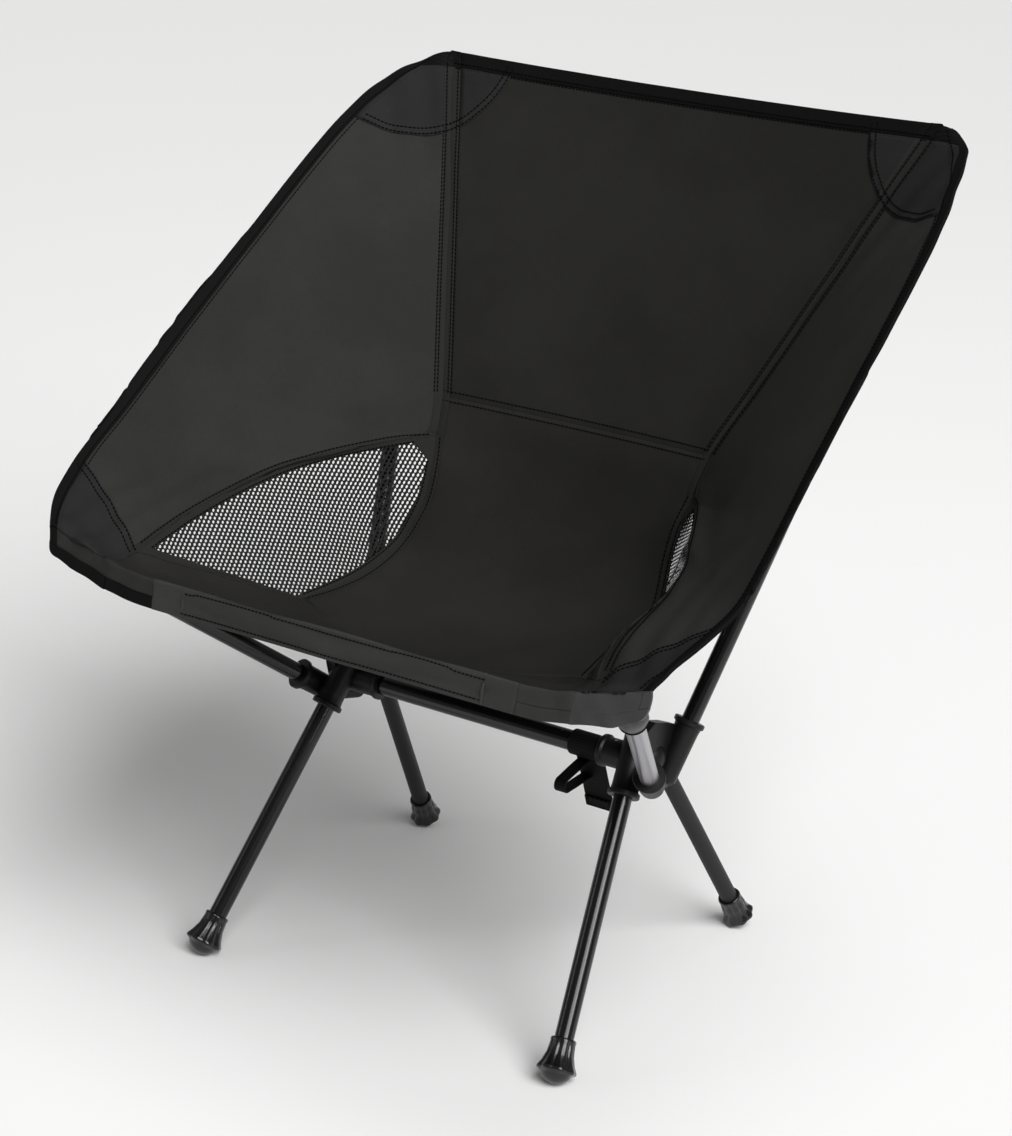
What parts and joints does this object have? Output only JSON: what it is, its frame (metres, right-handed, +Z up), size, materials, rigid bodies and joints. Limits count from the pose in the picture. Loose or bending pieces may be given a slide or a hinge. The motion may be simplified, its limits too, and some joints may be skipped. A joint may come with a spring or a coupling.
{
  "type": "folding camp chair",
  "caption": "Low, light folding camp chair: four splayed legs and four poles in two moulded hubs on a crossbar, holding a fabric bucket sling.",
  "frame": {"origin": "on the ground, at the middle of the chair's width and depth", "axes": "+Z up, the sitter faces -Y, +X is to the right of someone looking at the chair from in front"},
  "size_m": [0.5876, 0.4914, 0.6347],
  "materials": {
    "elastic_cord": "braided",
    "hub_nylon": "moulded satin",
    "crossbar_tube": "gloss black anodised",
    "steel_pin": "brushed",
    "front_leg_tube": "gloss black anodised",
    "rear_leg_tube": "satin dark grey anodised",
    "foot_rubber": "moulded",
    "front_pole_tube": "bare satin aluminium",
    "rear_pole_tube": "gloss black anodised",
    "ferrule": "bare",
    "cap_nylon": "moulded",
    "pocket_fabric": "coated weave",
    "back_fabric": "plain weave",
    "seat_fabric": "plain weave",
    "side_fabric": "plain weave",
    "front_band": "doubled plain weave",
    "binding": "folded tape, double stitched",
    "seam_tape": "ribbed tape",
    "mesh": "open mesh",
    "strap_webbing": "woven webbing"
  },
  "bodies": {
    "frame": {"back_panel": "back_fabric", "back_seam_tape_left": "seam_tape", "back_seam_tape_right": "seam_tape", "crossbar": "crossbar_tube", "crossbar_pins": "steel_pin", "front_hem": "front_band", "front_pocket_left": "pocket_fabric", "front_pocket_right": "pocket_fabric", "front_pole_left": "front_pole_tube", "front_pole_right": "front_pole_tube", "front_tip_cap_left": "cap_nylon", "front_tip_cap_right": "cap_nylon", "hub_left": "hub_nylon", "hub_leg_cord_left": "elastic_cord", "hub_leg_cord_right": "elastic_cord", "hub_right": "hub_nylon", "mesh_tape_left": "seam_tape", "mesh_tape_right": "seam_tape", "mesh_window_left": "mesh", "mesh_window_right": "mesh", "pole_cord_left": "elastic_cord", "pole_cord_right": "elastic_cord", "rear_pocket_left": "pocket_fabric", "rear_pocket_right": "pocket_fabric", "rear_pole_ferrule_left": "ferrule", "rear_pole_ferrule_right": "ferrule", "rear_pole_lower_left": "rear_pole_tube", "rear_pole_lower_right": "rear_pole_tube", "rear_pole_upper_left": "rear_pole_tube", "rear_pole_upper_right": "rear_pole_tube", "rear_tip_cap_left": "cap_nylon", "rear_tip_cap_right": "cap_nylon", "seat_panel": "seat_fabric", "side_binding_left": "binding", "side_binding_right": "binding", "side_panel_left": "side_fabric", "side_panel_right": "side_fabric", "top_hem": "binding"},
    "front_leg_left_body": {"front_leg_left": "front_leg_tube", "front_foot_left": "foot_rubber", "front_sole_left": "foot_rubber", "front_leg_cord_left": "elastic_cord"},
    "front_leg_right_body": {"front_leg_right": "front_leg_tube", "front_foot_right": "foot_rubber", "front_sole_right": "foot_rubber", "front_leg_cord_right": "elastic_cord"},
    "rear_leg_left_body": {"rear_leg_left": "rear_leg_tube", "rear_foot_left": "foot_rubber", "rear_sole_left": "foot_rubber", "rear_leg_cord_left": "elastic_cord"},
    "rear_leg_right_body": {"rear_leg_right": "rear_leg_tube", "rear_foot_right": "foot_rubber", "rear_sole_right": "foot_rubber", "rear_leg_cord_right": "elastic_cord"},
    "strap_slider": {"strap_wrap": "strap_webbing"},
    "strap_tail": {"strap_flap": "strap_webbing", "strap_loop": "strap_webbing"}
  },
  "joints": [
    {"name": "front_leg_left_pull", "type": "slide", "parent": "frame", "child": "front_leg_left_body", "axis": [-0.1298, -0.6174, -0.7759], "range_m": [0, 0.045], "stiffness_N_per_m": 60, "springref_m": -0.05},
    {"name": "front_leg_right_pull", "type": "slide", "parent": "frame", "child": "front_leg_right_body", "axis": [0.1298, -0.6174, -0.7759], "range_m": [0, 0.045], "stiffness_N_per_m": 60, "springref_m": -0.05},
    {"name": "rear_leg_left_pull", "type": "slide", "parent": "frame", "child": "rear_leg_left_body", "axis": [-0.1234, 0.462, -0.8783], "range_m": [0, 0.035], "stiffness_N_per_m": 60, "springref_m": -0.05},
    {"name": "rear_leg_right_pull", "type": "slide", "parent": "frame", "child": "rear_leg_right_body", "axis": [0.1234, 0.462, -0.8783], "range_m": [0, 0.035], "stiffness_N_per_m": 60, "springref_m": -0.05},
    {"name": "strap_slide", "type": "slide", "parent": "frame", "child": "strap_slider", "axis": [1, 0, 0], "range_m": [-0.165, 0]},
    {"name": "strap_swing", "type": "hinge", "parent": "strap_slider", "child": "strap_tail", "pos_m": [0.0905, -0.0424, 0.19], "axis": [1, 0, 0], "continuous": true}
  ]
}
